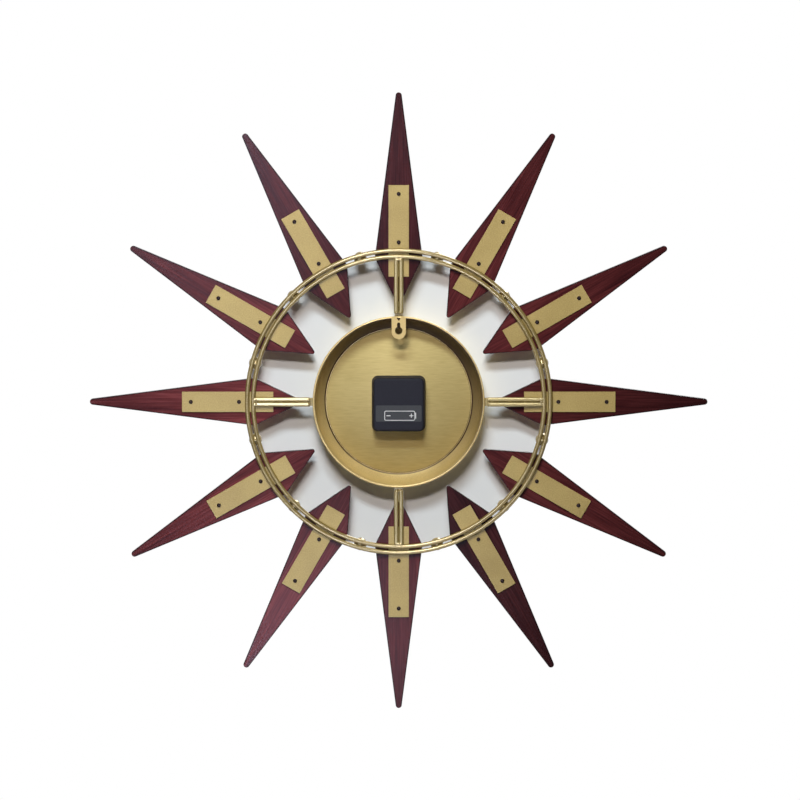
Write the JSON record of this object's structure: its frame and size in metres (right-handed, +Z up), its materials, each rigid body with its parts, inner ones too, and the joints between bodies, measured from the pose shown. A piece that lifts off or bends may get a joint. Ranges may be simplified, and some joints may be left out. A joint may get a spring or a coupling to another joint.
{
  "type": "sunburst wall clock",
  "caption": "Round wall clock on a double rod ring with kite-shaped wooden rays, a spun metal pan, a battery movement under a pull-off cover and a keyhole hanger.",
  "frame": {"origin": "on the axis of the hands, halfway through the depth of the clock", "axes": "+Z up as it hangs, -Y the way the dial faces, +Y towards the wall, +X to the right as the dial is read"},
  "size_m": [0.762, 0.039, 0.762],
  "materials": {
    "walnut": "dark red-brown stained hardwood, satin",
    "gold_paint": "matte gold paint on steel",
    "gold_dial": "matte gold paint, fine texture",
    "black_screw": "black phosphate",
    "black_enamel": "satin black",
    "brass": "turned",
    "black_plastic": "moulded, matte",
    "cover_plastic": "moulded, fine texture",
    "rubber": "matte",
    "cell_jacket": "printed sleeve, plain",
    "contact_steel": "nickel plated"
  },
  "bodies": {
    "frame": {"spoke_01": "walnut", "spoke_02": "walnut", "spoke_03": "walnut", "spoke_04": "walnut", "spoke_05": "walnut", "spoke_06": "walnut", "spoke_07": "walnut", "spoke_08": "walnut", "spoke_09": "walnut", "spoke_10": "walnut", "spoke_11": "walnut", "spoke_12": "walnut", "ring_outer": "gold_paint", "ring_inner": "gold_paint", "ring_balls": "gold_paint", "strut_top": "gold_paint", "strut_right": "gold_paint", "strut_bottom": "gold_paint", "strut_left": "gold_paint", "case_pan": "gold_paint", "hanger_plate": "gold_paint", "strap_01": "gold_paint", "strap_02": "gold_paint", "strap_03": "gold_paint", "strap_04": "gold_paint", "strap_05": "gold_paint", "strap_06": "gold_paint", "strap_07": "gold_paint", "strap_08": "gold_paint", "strap_09": "gold_paint", "strap_10": "gold_paint", "strap_11": "gold_paint", "strap_12": "gold_paint", "dial_plate": "gold_dial", "strap_screws": "black_screw", "hour_markers": "black_enamel", "mounting_nut": "brass", "dial_washer": "brass", "movement_case": "black_plastic", "rubber_washer": "rubber", "battery": "cell_jacket", "battery_contacts": "contact_steel"},
    "hour": {"hour_hand": "black_enamel", "hour_tube": "brass"},
    "minute": {"minute_hand": "black_enamel", "minute_cannon": "brass"},
    "second": {"second_hand": "black_enamel", "second_arbor": "brass"},
    "knob": {"set_knob": "black_plastic"},
    "cover": {"movement_cover": "cover_plastic"}
  },
  "joints": [
    {"name": "minute_spin", "type": "hinge", "parent": "frame", "child": "minute", "pos_m": [0, 0, 0], "axis": [0, 1, 0], "continuous": true},
    {"name": "hour_spin", "type": "hinge", "parent": "frame", "child": "hour", "pos_m": [0, 0, 0], "axis": [0, 1, 0], "continuous": true},
    {"name": "second_spin", "type": "hinge", "parent": "frame", "child": "second", "pos_m": [0, 0, 0], "axis": [0, 1, 0], "continuous": true},
    {"name": "knob_spin", "type": "hinge", "parent": "frame", "child": "knob", "pos_m": [0.015, 0, 0.013], "axis": [0, 1, 0], "continuous": true},
    {"name": "cover_pull", "type": "slide", "parent": "frame", "child": "cover", "axis": [0, 1, 0], "range_m": [0, 0.03]}
  ],
  "couplings": [
    {"joint": "hour_spin", "follows": "minute_spin", "ratio": 0.083333},
    {"joint": "second_spin", "follows": "minute_spin", "ratio": 60},
    {"joint": "knob_spin", "follows": "minute_spin", "ratio": -0.33333}
  ]
}
